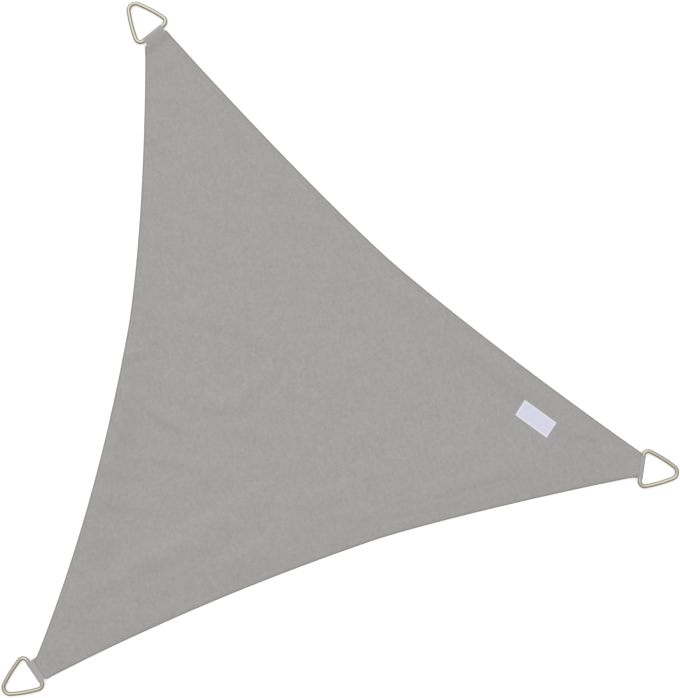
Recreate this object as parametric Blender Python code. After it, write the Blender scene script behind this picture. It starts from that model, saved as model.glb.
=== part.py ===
"""Triangular shade sail, lying flat and face up.

The knitted cloth has three hollowed, hemmed sides. At each corner a folded webbing loop, sewn
under the cloth, holds a rounded-triangle steel ring. A small bare label is sewn near one corner.

Units are metres. X runs along the bottom side, Y towards the top corner and Z up from the
surface that the sail lies on. The origin is under the middle of its bounding box.
"""

import math
from collections import namedtuple

import bmesh
import bpy
import numpy as np
from mathutils import Matrix, Vector
from mathutils.geometry import delaunay_2d_cdt

# Corners. x, y: middle of the ring's straight bar. heading: where the ring points, in degrees.
# The cloth ends in a short cut edge behind that bar: its width, its sideways shift, its gap.
Corner = namedtuple("Corner", "name x y heading end_width end_shift end_gap")
CORNERS = {
    "top": Corner("top", -0.0201, 0.8208, 110.1, 0.0795, 0.0047, 0.0165),
    "right": Corner("right", 0.9527, -0.8577, -26.3, 0.0716, 0.0097, 0.0070),
    "left": Corner("left", -0.9471, -0.8672, 195.8, 0.0628, 0.0085, 0.0160),
}

# Sides, clockwise. depth: how far the hem hollows in at its deepest point, which lies at that
# share of the side. before, after: how full the curve is on each side of it, 2 being a parabola.
Side = namedtuple("Side", "start end depth deepest before after")
SIDES = [
    Side("top", "right", 0.0684, 0.501, 1.49, 1.52),
    Side("right", "left", 0.0741, 0.429, 1.38, 2.07),
    Side("left", "top", 0.0976, 0.554, 2.14, 1.50),
]

# Folds left in the cloth: soft ridges, each through three points of its crest.
Fold = namedtuple("Fold", "name x0 y0 x1 y1 x2 y2 height reach")
FOLDS = [
    Fold("lower_left_upper", -0.723, -0.697, -0.491, -0.676, -0.174, -0.614, 0.0075, 0.052),
    Fold("lower_left_lower", -0.482, -0.726, -0.226, -0.725, 0.030, -0.709, 0.0060, 0.038),
    Fold("bottom_long", -0.010, -0.715, 0.277, -0.719, 0.622, -0.735, 0.0045, 0.032),
    Fold("middle_line", -0.443, -0.360, -0.187, -0.466, 0.102, -0.539, 0.0045, 0.036),
    Fold("middle_arc_upper", -0.229, -0.240, -0.102, -0.281, 0.031, -0.193, 0.0045, 0.032),
    Fold("middle_arc_lower", -0.212, -0.351, -0.069, -0.364, 0.054, -0.314, 0.0035, 0.033),
    Fold("left_arc", -0.202, 0.011, -0.091, -0.050, 0.015, -0.145, 0.0040, 0.032),
    Fold("left_crescent", -0.378, -0.172, -0.344, -0.258, -0.262, -0.322, 0.0040, 0.030),
    Fold("right_side", 0.385, -0.028, 0.534, -0.299, 0.667, -0.465, 0.0055, 0.040),
    Fold("bottom_side", 0.199, -0.812, 0.408, -0.843, 0.658, -0.872, 0.0040, 0.034),
    Fold("right_corner_upper", 0.766, -0.712, 0.806, -0.731, 0.848, -0.746, 0.0040, 0.026),
    Fold("right_corner_lower", 0.696, -0.779, 0.777, -0.800, 0.852, -0.806, 0.0030, 0.024),
    Fold("top_short", 0.002, 0.690, 0.021, 0.640, 0.050, 0.589, 0.0035, 0.026),
    Fold("top_long", 0.041, 0.560, 0.092, 0.468, 0.165, 0.388, 0.0045, 0.032),
    Fold("upper_wide", -0.048, 0.083, 0.075, 0.074, 0.202, 0.044, 0.0030, 0.036),
    Fold("left_hem_1", -0.311, 0.072, -0.279, 0.046, -0.240, 0.030, 0.0030, 0.024),
    Fold("left_hem_2", -0.370, -0.052, -0.338, -0.078, -0.295, -0.099, 0.0035, 0.024),
    Fold("left_hem_3", -0.439, -0.155, -0.409, -0.180, -0.374, -0.186, 0.0035, 0.024),
    Fold("left_hem_4", -0.499, -0.254, -0.465, -0.274, -0.424, -0.282, 0.0035, 0.024),
    Fold("left_hem_5", -0.578, -0.350, -0.542, -0.374, -0.495, -0.384, 0.0035, 0.024),
    Fold("left_hem_6", -0.632, -0.439, -0.560, -0.487, -0.472, -0.541, 0.0040, 0.028),
]
FOLD_FULLNESS = 0.7  # below 1, a fold keeps its height nearer to its ends

# Cloth
CLOTH_THICKNESS = 0.0016
HEM_WIDTH = 0.014
HEM_EXTRA = 0.0012  # the turned-under layer
HEM_STEP = 0.003  # over which the hem's inner edge comes down
BORDER_SPACING = 0.028  # between points of the outline
FIELD_SPACING = 0.052  # between points of the flat field
FOLD_SPACING = 0.010  # the least between a fold's points and any others
CORNER_SPACING = 0.008  # the same, on the webbing and its ramps
CREST_SHARES = (0.04, 0.12, 0.23, 0.36, 0.5, 0.64, 0.77, 0.88, 0.96)  # points along a fold
REACH_SHARES = (0.0, -0.5, 0.5, -1.0, 1.0)  # points across a fold, crest first

# Rings: a round bar bent to an isosceles triangle. Sizes are of the bar's centre line with its
# corners still sharp; the height is measured from the straight bar that carries the webbing.
BAR_RADIUS = 0.006
BAR_SIDES = 16
RING_HALF_WIDTH = 0.0606
RING_HEIGHT = 0.137
RING_CORNER_RADIUS = 0.015
RING_TIP_RADIUS = 0.0205
RING_BULGE = 0.002  # outward bow of the two legs
RING_ARC_STEPS = 7  # odd, so that one face lies square across the tip
RING_LEG_STEPS = 4

# Corner loops: one strap of webbing around the bar, its two plies sewn to each other
WEB_THICKNESS = 0.0012
WEB_WIDTH = 0.068
WEB_SHIFT = 0.0025
EYE_RADIUS = 0.0064  # inside of the loop, around the bar
EYE_STEPS = 12
SEAM_DISTANCE = 0.042  # behind the bar, where the plies meet
TONGUE_DISTANCE = 0.092  # behind the bar, where they end

# The cloth lies on each tongue with this gap, and comes down to the floor over a ramp.
LAY_GAP = 0.0003
RAMP_MARGIN = 0.006  # past the tongue's edges before the ramp starts
RAMP_LENGTH = 0.050
RAMP_CELLS = 3
TONGUE_CELLS = 4

# Label
LABEL_X, LABEL_Y = 0.702, -0.622
LABEL_TURN = -54.2  # degrees
LABEL_LENGTH, LABEL_WIDTH = 0.115, 0.054
LABEL_THICKNESS = 0.0006
LABEL_CELLS = (8, 4)
LABEL_MARGIN = 0.008  # of flat cloth kept around it

# Worked out from the sizes above
EYE_OUTSIDE = EYE_RADIUS + WEB_THICKNESS
BAR_HEIGHT = EYE_OUTSIDE  # of the straight bar's centre line, in its loop
TONGUE_THICKNESS = 2 * WEB_THICKNESS
SEAM_DROP = BAR_HEIGHT - TONGUE_THICKNESS
EYE_SLOPE = math.atan2(SEAM_DROP, SEAM_DISTANCE) + math.asin(
    EYE_OUTSIDE / math.hypot(SEAM_DROP, SEAM_DISTANCE)
)  # at which the loop's upper ply climbs from the seam to its round end


# ---- plane geometry ----


def unit(vectors):
    return vectors / np.linalg.norm(vectors, axis=-1, keepdims=True)


def turned_right(vectors):
    return np.stack([vectors[..., 1], -vectors[..., 0]], axis=-1)


def smooth_step(share):
    """0 below 0, 1 above 1, and a smooth rise between."""
    share = np.clip(share, 0.0, 1.0)
    return share * share * (3.0 - 2.0 * share)


def arc(centre, radius, start, end, steps):
    """Points of an arc, with the angles in radians."""
    angles = np.linspace(start, end, steps + 1)
    return np.array(centre) + radius * np.stack([np.cos(angles), np.sin(angles)], axis=1)


def inset(outline, distance):
    """A clockwise outline moved inwards, with mitred corners."""
    back = turned_right(unit(outline - np.roll(outline, 1, axis=0)))
    ahead = turned_right(unit(np.roll(outline, -1, axis=0) - outline))
    inward = unit(back + ahead)
    mitre = np.sum(inward * ahead, axis=1, keepdims=True)
    return outline + inward * distance / mitre


def inside(points, outline):
    """Which points lie inside a closed outline: a ray from them crosses it an odd number of times."""
    x, y = points[:, :1], points[:, 1:]
    x0, y0 = outline.T
    x1, y1 = np.roll(outline, -1, axis=0).T
    spans = (y0 > y) != (y1 > y)
    rise = np.where(y1 == y0, 1.0, y1 - y0)
    return np.sum(spans & (x < x0 + (y - y0) / rise * (x1 - x0)), axis=1) % 2 == 1


def nearest_on_line(points, line):
    """Distance from each point to a line of points, and the nearest place as a share of the line."""
    start, run = line[:-1], np.diff(line, axis=0)
    offset = points[:, None] - start
    share = np.clip(np.sum(offset * run, axis=2) / np.sum(run * run, axis=1), 0, 1)
    gap = np.linalg.norm(offset - share[..., None] * run, axis=2)
    piece = np.argmin(gap, axis=1)
    rows = np.arange(len(points))
    return gap[rows, piece], (piece + share[rows, piece]) / len(run)


# ---- the sail's outline ----


def corner_axes(corner):
    """Unit vectors of a corner: out along its ring, and to the left of that."""
    turn = math.radians(corner.heading)
    return np.array([math.cos(turn), math.sin(turn)]), np.array([-math.sin(turn), math.cos(turn)])


def to_sheet(corner, out, left):
    """Points of the sheet, from distances along a corner's own two directions."""
    out_axis, left_axis = corner_axes(corner)
    return np.array([corner.x, corner.y]) + np.outer(out, out_axis) + np.outer(left, left_axis)


def to_corner(corner, points):
    """Distances along a corner's own two directions, from points of the sheet."""
    offset = points - np.array([corner.x, corner.y])
    out_axis, left_axis = corner_axes(corner)
    return offset @ out_axis, offset @ left_axis


def cut_edge(corner):
    """Both ends of the cloth's short cut edge at a corner, clockwise."""
    half = corner.end_width / 2
    return to_sheet(corner, [-corner.end_gap] * 2, [corner.end_shift + half, corner.end_shift - half])


def side_points(side):
    """Points of a hollowed side, from its start up to but not including its end."""
    start, end = cut_edge(CORNERS[side.start])[1], cut_edge(CORNERS[side.end])[0]
    chord = end - start
    count = round(np.linalg.norm(chord) / BORDER_SPACING)
    share = np.arange(count) / count
    first = share < side.deepest
    off_deepest = np.where(first, 1 - share / side.deepest, (share - side.deepest) / (1 - side.deepest))
    hollow = side.depth * (1 - off_deepest ** np.where(first, side.before, side.after))
    return start + np.outer(share, chord) + np.outer(hollow, turned_right(unit(chord)))


def cut_edge_points(corner):
    """Points of a corner's cut edge, from its start up to but not including its end."""
    start, end = cut_edge(corner)
    count = round(np.linalg.norm(end - start) / BORDER_SPACING)
    return start + np.outer(np.arange(count) / count, end - start)


def outline_points():
    """The cloth's outline, clockwise."""
    sides = [side_points(side) for side in SIDES]
    cut_edges = [cut_edge_points(CORNERS[side.end]) for side in SIDES]
    return np.vstack([run for pair in zip(sides, cut_edges) for run in pair])


# ---- height of the cloth ----


def crest(fold, shares):
    """Points of a fold's crest: the parabola through its three given points."""
    t = np.asarray(shares)[:, None]
    start, middle, end = np.reshape(fold[1:7], (3, 2))
    return start * (1 - t) * (1 - 2 * t) + middle * 4 * t * (1 - t) + end * t * (2 * t - 1)


def fold_lift(fold, points):
    """How far a fold lifts the cloth: a bell across its crest, dying out at both ends."""
    gap, share = nearest_on_line(points, crest(fold, np.linspace(0, 1, 17)))
    bell = np.clip(1 - (gap / fold.reach) ** 2, 0, 1) ** 2
    return fold.height * bell * (4 * share * (1 - share)) ** FOLD_FULLNESS


def corner_lift(corner, points):
    """How far the webbing lifts the cloth: flat over the tongue, climbing to the bar, ramps around."""
    out, left = to_corner(corner, points)
    climb = np.maximum(out + SEAM_DISTANCE, 0) * math.tan(EYE_SLOPE)
    past_end = -out - TONGUE_DISTANCE - RAMP_MARGIN
    past_side = np.abs(left - WEB_SHIFT) - WEB_WIDTH / 2 - RAMP_MARGIN
    down = smooth_step(1 - past_end / RAMP_LENGTH) * smooth_step(1 - past_side / RAMP_LENGTH)
    return (TONGUE_THICKNESS + LAY_GAP + climb) * down


def underside(points):
    """Height of the cloth's underside above the floor."""
    folds = sum(fold_lift(fold, points) for fold in FOLDS)
    return folds + sum(corner_lift(corner, points) for corner in CORNERS.values())


def thickness(points, outline):
    """The cloth's thickness: doubled along the hem, single over the field."""
    closed = np.vstack([outline, outline[:1]])
    past_hem = nearest_on_line(points, closed)[0] - HEM_WIDTH
    return CLOTH_THICKNESS + HEM_EXTRA * np.clip(1 - past_hem / HEM_STEP, 0, 1)


# ---- points of the cloth's mesh ----


def fold_points(fold):
    """Rows of points along a fold: its crest, halfway down and its foot."""
    line = crest(fold, CREST_SHARES)
    sideways = turned_right(unit(np.gradient(line, axis=0))) * fold.reach
    return np.vstack([line + sideways * share for share in REACH_SHARES])


def corner_points(corner):
    """A fine grid over a corner's webbing and down the ramps around it."""
    tongue_end = TONGUE_DISTANCE + RAMP_MARGIN
    web_edge = WEB_WIDTH / 2 + RAMP_MARGIN
    ramp = np.arange(1, RAMP_CELLS + 1) / RAMP_CELLS * RAMP_LENGTH
    climb = np.linspace(corner.end_gap, SEAM_DISTANCE, TONGUE_CELLS)[:-1]
    tongue = np.linspace(SEAM_DISTANCE, tongue_end, TONGUE_CELLS)
    behind = np.concatenate([climb, tongue, tongue_end + ramp])
    across = np.linspace(-web_edge, web_edge, TONGUE_CELLS + 1)
    left = WEB_SHIFT + np.concatenate([-web_edge - ramp[::-1], across, web_edge + ramp])
    grid_behind, grid_left = np.meshgrid(behind, left)
    return to_sheet(corner, -grid_behind.ravel(), grid_left.ravel())


def label_place(length, width):
    """Matrix that puts a unit square on the label, at the given size."""
    return (
        Matrix.Translation((LABEL_X, LABEL_Y, 0))
        @ Matrix.Rotation(math.radians(LABEL_TURN), 4, "Z")
        @ Matrix.Diagonal((length, width, 1, 1))
    )


def label_points():
    """Points around and under the label, where the cloth is kept flat."""
    placed = label_place(LABEL_LENGTH + 2 * LABEL_MARGIN, LABEL_WIDTH + 2 * LABEL_MARGIN)
    shares = np.linspace(-0.5, 0.5, 4)
    return np.array([(placed @ Vector((x, y, 0))).xy for x in shares for y in shares])


def lattice_points(outline):
    """An even triangular lattice over the whole outline."""
    low, high = outline.min(axis=0), outline.max(axis=0)
    x, y = np.meshgrid(
        np.arange(low[0], high[0], FIELD_SPACING),
        np.arange(low[1], high[1], FIELD_SPACING * math.sqrt(3) / 2),
    )
    x[1::2] += FIELD_SPACING / 2
    return np.stack([x.ravel(), y.ravel()], axis=1)


def kept_inside(points, outline):
    return points[inside(points, outline)]


def add_apart(taken, points, spacing):
    """The points taken so far and those of the new ones that keep their distance from all."""
    taken = list(taken)
    for point in points:
        if np.min(np.linalg.norm(np.array(taken) - point, axis=1)) >= spacing:
            taken.append(point)
    return np.array(taken)


def cloth_points(outline):
    """Points of the sheet: the outline and both edges of the hem's step, then the field."""
    hem_edge, hem_foot = inset(outline, HEM_WIDTH), inset(outline, HEM_WIDTH + HEM_STEP)
    points = np.vstack([outline, hem_edge, hem_foot])
    field = inset(outline, HEM_WIDTH + 2 * HEM_STEP)
    for corner in CORNERS.values():
        points = add_apart(points, kept_inside(corner_points(corner), field), CORNER_SPACING)
    for fold in FOLDS:
        points = add_apart(points, kept_inside(fold_points(fold), field), FOLD_SPACING)
    points = np.vstack([points, label_points()])
    return add_apart(points, kept_inside(lattice_points(outline), field), FIELD_SPACING / 2)


# ---- making the pieces ----


def finished_mesh(name, bm):
    """A mesh of a finished bmesh, with its faces turned outwards."""
    bmesh.ops.recalc_face_normals(bm, faces=bm.faces[:])
    mesh = bpy.data.meshes.new(name)
    bm.to_mesh(mesh)
    bm.free()
    return mesh


def place_piece(name, mesh, material, parent, location=(0, 0, 0), rotation=(0, 0, 0)):
    """An object of a mesh, which several objects may share."""
    piece = bpy.data.objects.new(name, mesh)
    bpy.context.collection.objects.link(piece)
    if material.name not in mesh.materials:
        mesh.materials.append(material)
    piece.parent = parent
    piece.location = location
    piece.rotation_euler = rotation
    return piece


def new_material(name, colour, roughness, metallic):
    material = bpy.data.materials.new(name)
    material.use_nodes = True
    shader = material.node_tree.nodes["Principled BSDF"]
    shader.inputs["Base Color"].default_value = (*colour, 1.0)
    shader.inputs["Roughness"].default_value = roughness
    shader.inputs["Metallic"].default_value = metallic
    material.diffuse_color = (*colour, 1.0)
    return material


def extrude_up(bm, rise):
    """Give an open sheet its thickness: its copy is raised by rise(x, y) at each point."""
    raised = bmesh.ops.extrude_face_region(bm, geom=bm.faces[:])["geom"]
    tops = [item for item in raised if isinstance(item, bmesh.types.BMVert)]
    rises = rise(np.array([top.co.xy for top in tops]))
    for top, height in zip(tops, rises):
        top.co.z += height


def make_cloth(material, parent):
    """The sheet: a triangulated outline on its folds, given the thickness of cloth and hem."""
    outline = outline_points()
    points = cloth_points(outline)
    ring = np.arange(len(outline))
    edges = [
        (int(a), int(b))
        for start in (0, len(outline), 2 * len(outline))
        for a, b in zip(start + ring, start + np.roll(ring, -1))
    ]
    flat, _, faces, *_ = delaunay_2d_cdt([tuple(p) for p in points], edges, [], 1, 1e-7)
    flat = np.array([tuple(p) for p in flat])

    bm = bmesh.new()
    verts = [bm.verts.new((x, y, z)) for (x, y), z in zip(flat, underside(flat))]
    for face in faces:
        bm.faces.new([verts[i] for i in face])
    extrude_up(bm, lambda xy: thickness(xy, outline))
    return place_piece("sail_cloth", finished_mesh("sail_cloth", bm), material, parent)


def ring_leg(start, end):
    """Points between two ends of a leg, bowed outwards."""
    share = np.arange(1, RING_LEG_STEPS) / RING_LEG_STEPS
    bow = RING_BULGE * 4 * share * (1 - share)
    run = end - start
    return start + np.outer(share, run) + np.outer(bow, turned_right(unit(run)))


def ring_line():
    """The ring's closed centre line, counter-clockwise, its straight bar across X = 0."""
    lean = math.atan2(RING_HALF_WIDTH, RING_HEIGHT)  # of each leg from the ring's axis
    cut = RING_CORNER_RADIUS / math.tan(math.pi / 4 - lean / 2)  # that the rounding takes off the bar
    corner_centre = (RING_CORNER_RADIUS, cut - RING_HALF_WIDTH)
    tip_centre = (RING_HEIGHT - RING_TIP_RADIUS / math.sin(lean), 0)
    right = arc(corner_centre, RING_CORNER_RADIUS, math.pi, 1.5 * math.pi + lean, RING_ARC_STEPS)
    tip = arc(tip_centre, RING_TIP_RADIUS, lean - math.pi / 2, math.pi / 2 - lean, RING_ARC_STEPS)
    left = right[::-1] * (1, -1)
    return np.vstack([right, ring_leg(right[-1], tip[0]), tip, ring_leg(tip[-1], left[0]), left])


def make_ring_mesh():
    """A bar with flat-sided round section, swept along the closed line with mitred joints."""
    line = ring_line()
    back, ahead = unit(line - np.roll(line, 1, axis=0)), unit(np.roll(line, -1, axis=0) - line)
    outward = unit(turned_right(back) + turned_right(ahead))
    mitre = 1 / np.sum(outward * turned_right(ahead), axis=1)
    angles = (np.arange(BAR_SIDES) + 0.5) * 2 * math.pi / BAR_SIDES
    section = BAR_RADIUS * np.stack([np.cos(angles), np.sin(angles)], axis=1)

    bm = bmesh.new()
    sections = [
        [bm.verts.new((*(place + side * stretch * wide), high)) for wide, high in section]
        for place, side, stretch in zip(line, outward, mitre)
    ]
    for near, far in zip(sections, sections[1:] + sections[:1]):
        for i in range(BAR_SIDES):
            j = (i + 1) % BAR_SIDES
            bm.faces.new([near[i], near[j], far[j], far[i]])
    mesh = finished_mesh("ring", bm)
    mesh.shade_smooth()
    return mesh


def make_loop_mesh():
    """The strap seen from its edge, with the eye for the bar, extruded to the strap's width."""
    start, end = -math.pi / 2, math.pi / 2 + EYE_SLOPE
    centre = (0, BAR_HEIGHT)
    outside = np.vstack([
        [(-TONGUE_DISTANCE, 0)],
        arc(centre, EYE_OUTSIDE, start, end, EYE_STEPS),
        [(-SEAM_DISTANCE, TONGUE_THICKNESS), (-TONGUE_DISTANCE, TONGUE_THICKNESS)],
    ])
    eye_tip = -SEAM_DISTANCE + WEB_THICKNESS * math.tan(EYE_SLOPE / 2)
    eye = np.vstack([arc(centre, EYE_RADIUS, start, end, EYE_STEPS), [(eye_tip, WEB_THICKNESS)]])

    bm = bmesh.new()
    edges = []
    for profile in (outside, eye):
        verts = [bm.verts.new((x, WEB_SHIFT - WEB_WIDTH / 2, z)) for x, z in profile]
        edges += [bm.edges.new((a, b)) for a, b in zip(verts, verts[1:] + verts[:1])]
    bmesh.ops.triangle_fill(bm, edges=edges, use_beauty=True)
    far = bmesh.ops.extrude_face_region(bm, geom=bm.faces[:])["geom"]
    far_verts = [item for item in far if isinstance(item, bmesh.types.BMVert)]
    bmesh.ops.translate(bm, verts=far_verts, vec=(0, WEB_WIDTH, 0))
    return finished_mesh("corner_loop", bm)


def make_label(material, parent):
    """A thin woven patch, lying on the cloth."""
    bm = bmesh.new()
    across, down = LABEL_CELLS
    placed = label_place(LABEL_LENGTH, LABEL_WIDTH)
    bmesh.ops.create_grid(bm, x_segments=across, y_segments=down, size=0.5, matrix=placed)
    heights = underside(np.array([vert.co.xy for vert in bm.verts]))
    for vert, height in zip(bm.verts, heights):
        vert.co.z = height + CLOTH_THICKNESS + LAY_GAP
    extrude_up(bm, lambda xy: np.full(len(xy), LABEL_THICKNESS))
    return place_piece("label", finished_mesh("label", bm), material, parent)


def main():
    for old in list(bpy.data.objects):
        bpy.data.objects.remove(old, do_unlink=True)

    cloth = new_material("sail_cloth", (0.38, 0.378, 0.368), 0.9, 0.0)
    webbing = new_material("webbing", (0.33, 0.33, 0.32), 0.85, 0.0)
    steel = new_material("ring_steel", (0.72, 0.67, 0.58), 0.28, 1.0)
    patch = new_material("label", (0.86, 0.86, 0.88), 0.75, 0.0)

    sail = bpy.data.objects.new("sail", None)
    bpy.context.collection.objects.link(sail)
    make_cloth(cloth, sail)
    make_label(patch, sail)

    ring_mesh, loop_mesh = make_ring_mesh(), make_loop_mesh()
    tilt = math.asin((BAR_HEIGHT - BAR_RADIUS) / ring_line()[:, 0].max())  # tips down to the floor
    for corner in CORNERS.values():
        x, y, turn = corner.x, corner.y, math.radians(corner.heading)
        place_piece(f"loop_{corner.name}", loop_mesh, webbing, sail, (x, y, 0), (0, 0, turn))
        place_piece(f"ring_{corner.name}", ring_mesh, steel, sail, (x, y, BAR_HEIGHT), (0, tilt, turn))


main()
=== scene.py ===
import math

import bmesh
import bpy
import numpy as np
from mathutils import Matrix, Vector


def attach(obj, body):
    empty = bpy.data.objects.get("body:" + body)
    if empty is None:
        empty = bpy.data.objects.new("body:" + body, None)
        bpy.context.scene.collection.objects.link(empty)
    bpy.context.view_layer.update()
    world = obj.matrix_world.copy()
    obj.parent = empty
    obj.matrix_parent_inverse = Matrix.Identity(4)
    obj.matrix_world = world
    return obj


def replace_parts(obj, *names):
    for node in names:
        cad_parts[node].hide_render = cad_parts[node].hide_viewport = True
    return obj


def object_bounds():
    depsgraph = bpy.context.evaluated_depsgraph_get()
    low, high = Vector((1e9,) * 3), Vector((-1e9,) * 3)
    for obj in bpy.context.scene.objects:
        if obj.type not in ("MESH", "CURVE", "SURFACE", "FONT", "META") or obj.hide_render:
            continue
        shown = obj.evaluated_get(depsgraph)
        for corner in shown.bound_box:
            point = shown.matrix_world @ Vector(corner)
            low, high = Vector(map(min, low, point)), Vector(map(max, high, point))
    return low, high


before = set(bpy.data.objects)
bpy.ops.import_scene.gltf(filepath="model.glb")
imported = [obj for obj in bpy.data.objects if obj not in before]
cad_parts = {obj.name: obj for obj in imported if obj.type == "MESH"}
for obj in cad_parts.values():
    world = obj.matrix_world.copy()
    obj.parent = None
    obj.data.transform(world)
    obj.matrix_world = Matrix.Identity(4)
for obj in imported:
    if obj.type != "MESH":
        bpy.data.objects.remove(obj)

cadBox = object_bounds()
print("frame loaded, box", [round(v, 4) for corner in cadBox for v in corner])

# Metres throughout. x runs along the sail's bottom side, y to its top corner, z up from the floor.

# Middle of each ring's straight bar, the way the ring points, and the cloth's short cut edge behind it
corners = {
    "top": dict(x=-0.0201, y=0.8208, heading=110.1, endWidth=0.0795, endShift=0.0047, endGap=0.0165),
    "right": dict(x=0.9527, y=-0.8577, heading=-26.3, endWidth=0.0716, endShift=0.0097, endGap=0.0070),
    "left": dict(x=-0.9471, y=-0.8672, heading=195.8, endWidth=0.0628, endShift=0.0085, endGap=0.0160),
}

# Clockwise: how deep each side hollows in, at which share of it, and how full the curve is before and after
sides = [
    dict(start="top", end="right", depth=0.0684, deepest=0.501, before=1.49, after=1.52),
    dict(start="right", end="left", depth=0.0741, deepest=0.429, before=1.38, after=2.07),
    dict(start="left", end="top", depth=0.0976, deepest=0.554, before=2.14, after=1.50),
]

# Soft ridges left in the cloth. Where the shaded side falls most steeply: start x, y, middle x, y, end x, y,
# with the crest on the left; then the ridge's height and how far its steep and its gentle side reach
folds = [
    (-0.850, -0.755, -0.665, -0.715, -0.500, -0.695, 0.0038, 0.052, 0.060),  # lower left, outer end
    (-0.625, -0.700, -0.480, -0.680, -0.290, -0.695, 0.0048, 0.046, 0.060),  # lower left, main
    (-0.430, -0.645, -0.265, -0.630, -0.095, -0.590, 0.0054, 0.084, 0.040),  # wide shaded slope above its end
    (-0.120, -0.690, -0.260, -0.725, -0.415, -0.740, 0.0042, 0.028, 0.084),  # its foot rises again
    (0.165, -0.720, 0.360, -0.745, 0.725, -0.770, 0.0025, 0.020, 0.048),  # along the bottom
    (-0.005, -0.720, 0.230, -0.765, 0.570, -0.820, 0.0017, 0.022, 0.040),
    (-0.410, -0.155, -0.365, -0.270, -0.265, -0.370, 0.0046, 0.021, 0.044),  # crescent
    (-0.455, -0.355, -0.370, -0.415, -0.220, -0.490, 0.0034, 0.022, 0.046),
    (-0.265, -0.250, -0.160, -0.310, -0.045, -0.305, 0.0046, 0.042, 0.052),
    (0.005, -0.290, -0.070, -0.345, -0.150, -0.395, 0.0020, 0.028, 0.050),
    (-0.105, -0.310, -0.040, -0.265, 0.070, -0.225, 0.0025, 0.034, 0.040),
    (-0.245, 0.005, -0.120, -0.065, 0.020, -0.200, 0.0034, 0.032, 0.060),  # arc at the left
    (-0.270, -0.060, -0.220, -0.070, -0.170, -0.100, 0.0014, 0.026, 0.030),
    (-0.665, -0.435, -0.550, -0.490, -0.405, -0.585, 0.0030, 0.028, 0.060),
    (-0.195, -0.385, -0.060, -0.450, 0.110, -0.495, 0.0020, 0.032, 0.090),
    (-0.225, -0.325, -0.175, -0.375, -0.095, -0.395, 0.0014, 0.018, 0.026),
    (-0.375, -0.435, -0.275, -0.510, -0.115, -0.500, 0.0026, 0.050, 0.054),
    (-0.105, -0.655, 0.005, -0.660, 0.125, -0.665, 0.0026, 0.028, 0.044),
    (-0.360, -0.190, -0.285, -0.200, -0.215, -0.235, 0.0016, 0.022, 0.036),
    (-0.340, 0.125, -0.300, 0.040, -0.270, -0.040, 0.0030, 0.024, 0.034),
    (-0.435, -0.070, -0.370, -0.080, -0.315, -0.080, 0.0034, 0.025, 0.032),  # dimples along the left hem
    (-0.475, -0.155, -0.425, -0.180, -0.370, -0.215, 0.0026, 0.018, 0.026),
    (-0.510, -0.185, -0.495, -0.255, -0.470, -0.320, 0.0042, 0.021, 0.028),
    (-0.605, -0.345, -0.545, -0.385, -0.485, -0.425, 0.0018, 0.020, 0.034),
    (-0.655, -0.505, -0.625, -0.565, -0.600, -0.625, 0.0018, 0.026, 0.034),
    (-0.790, -0.595, -0.720, -0.650, -0.675, -0.715, 0.0018, 0.024, 0.036),
    (-0.860, -0.770, -0.800, -0.770, -0.735, -0.780, 0.0018, 0.024, 0.034),
    (-0.100, 0.665, -0.045, 0.615, 0.010, 0.560, 0.0015, 0.026, 0.036),  # top corner and the field below it
    (-0.040, 0.615, 0.030, 0.565, 0.085, 0.495, 0.0013, 0.024, 0.036),
    (-0.020, 0.480, 0.040, 0.405, 0.085, 0.295, 0.0019, 0.030, 0.050),
    (0.075, 0.345, 0.125, 0.290, 0.235, 0.225, 0.0015, 0.024, 0.036),
    (-0.140, 0.535, -0.110, 0.480, -0.055, 0.410, 0.0015, 0.028, 0.040),
    (-0.245, 0.260, -0.200, 0.210, -0.130, 0.150, 0.0017, 0.026, 0.040),
    (-0.030, 0.115, 0.060, 0.065, 0.155, 0.055, 0.0013, 0.028, 0.046),
    (0.235, 0.170, 0.280, 0.100, 0.330, 0.010, 0.0017, 0.020, 0.030),
    (0.165, 0.050, 0.185, 0.000, 0.195, -0.070, 0.0015, 0.026, 0.030),
    (0.240, -0.080, 0.305, -0.075, 0.415, -0.090, 0.0011, 0.026, 0.036),
    (0.365, -0.045, 0.410, -0.140, 0.445, -0.210, 0.0024, 0.030, 0.040),  # along the right side
    (0.420, -0.150, 0.475, -0.260, 0.545, -0.380, 0.0020, 0.032, 0.044),
    (0.535, -0.330, 0.625, -0.455, 0.725, -0.595, 0.0032, 0.032, 0.050),
    (0.730, -0.645, 0.810, -0.715, 0.920, -0.770, 0.0024, 0.026, 0.044),  # right corner
    (0.100, -0.540, 0.185, -0.510, 0.320, -0.565, 0.0013, 0.028, 0.036),
    (0.055, -0.645, 0.140, -0.640, 0.300, -0.640, 0.0013, 0.024, 0.034),
    (0.175, -0.285, 0.210, -0.370, 0.335, -0.375, 0.0012, 0.024, 0.034),
    (0.565, -0.505, 0.600, -0.585, 0.605, -0.670, 0.0014, 0.030, 0.040),
]
foldForm = dict(
    steps=16,  # of the line that a fold follows
    lean=0.45,  # from the steepest fall to the crest, as a share of the steep side
    fading=1.1,  # power of the fading towards both ends
    sway=0.1,  # of the line to both sides, as a share of the steep side
    swayLength=0.045,
    swayWaves=0.8,
    dip=0.18,  # of the crest, as a share of the height
    dipLength=0.030,
)
lightSide = np.array([0.056, 0.998])  # the way to the light, a little left of the photo's top


def unit(vectors):
    return vectors / np.linalg.norm(vectors, axis=-1, keepdims=True)


def turnedRight(vectors):
    # a quarter turn clockwise
    return np.stack([vectors[..., 1], -vectors[..., 0]], axis=-1)


def smoothStep(share):
    # 3t^2 - 2t^3 between 0 and 1, flat outside
    share = np.clip(share, 0.0, 1.0)
    return share * share * (3.0 - 2.0 * share)


def lerp(a, b, share):
    return a + (b - a) * share


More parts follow.
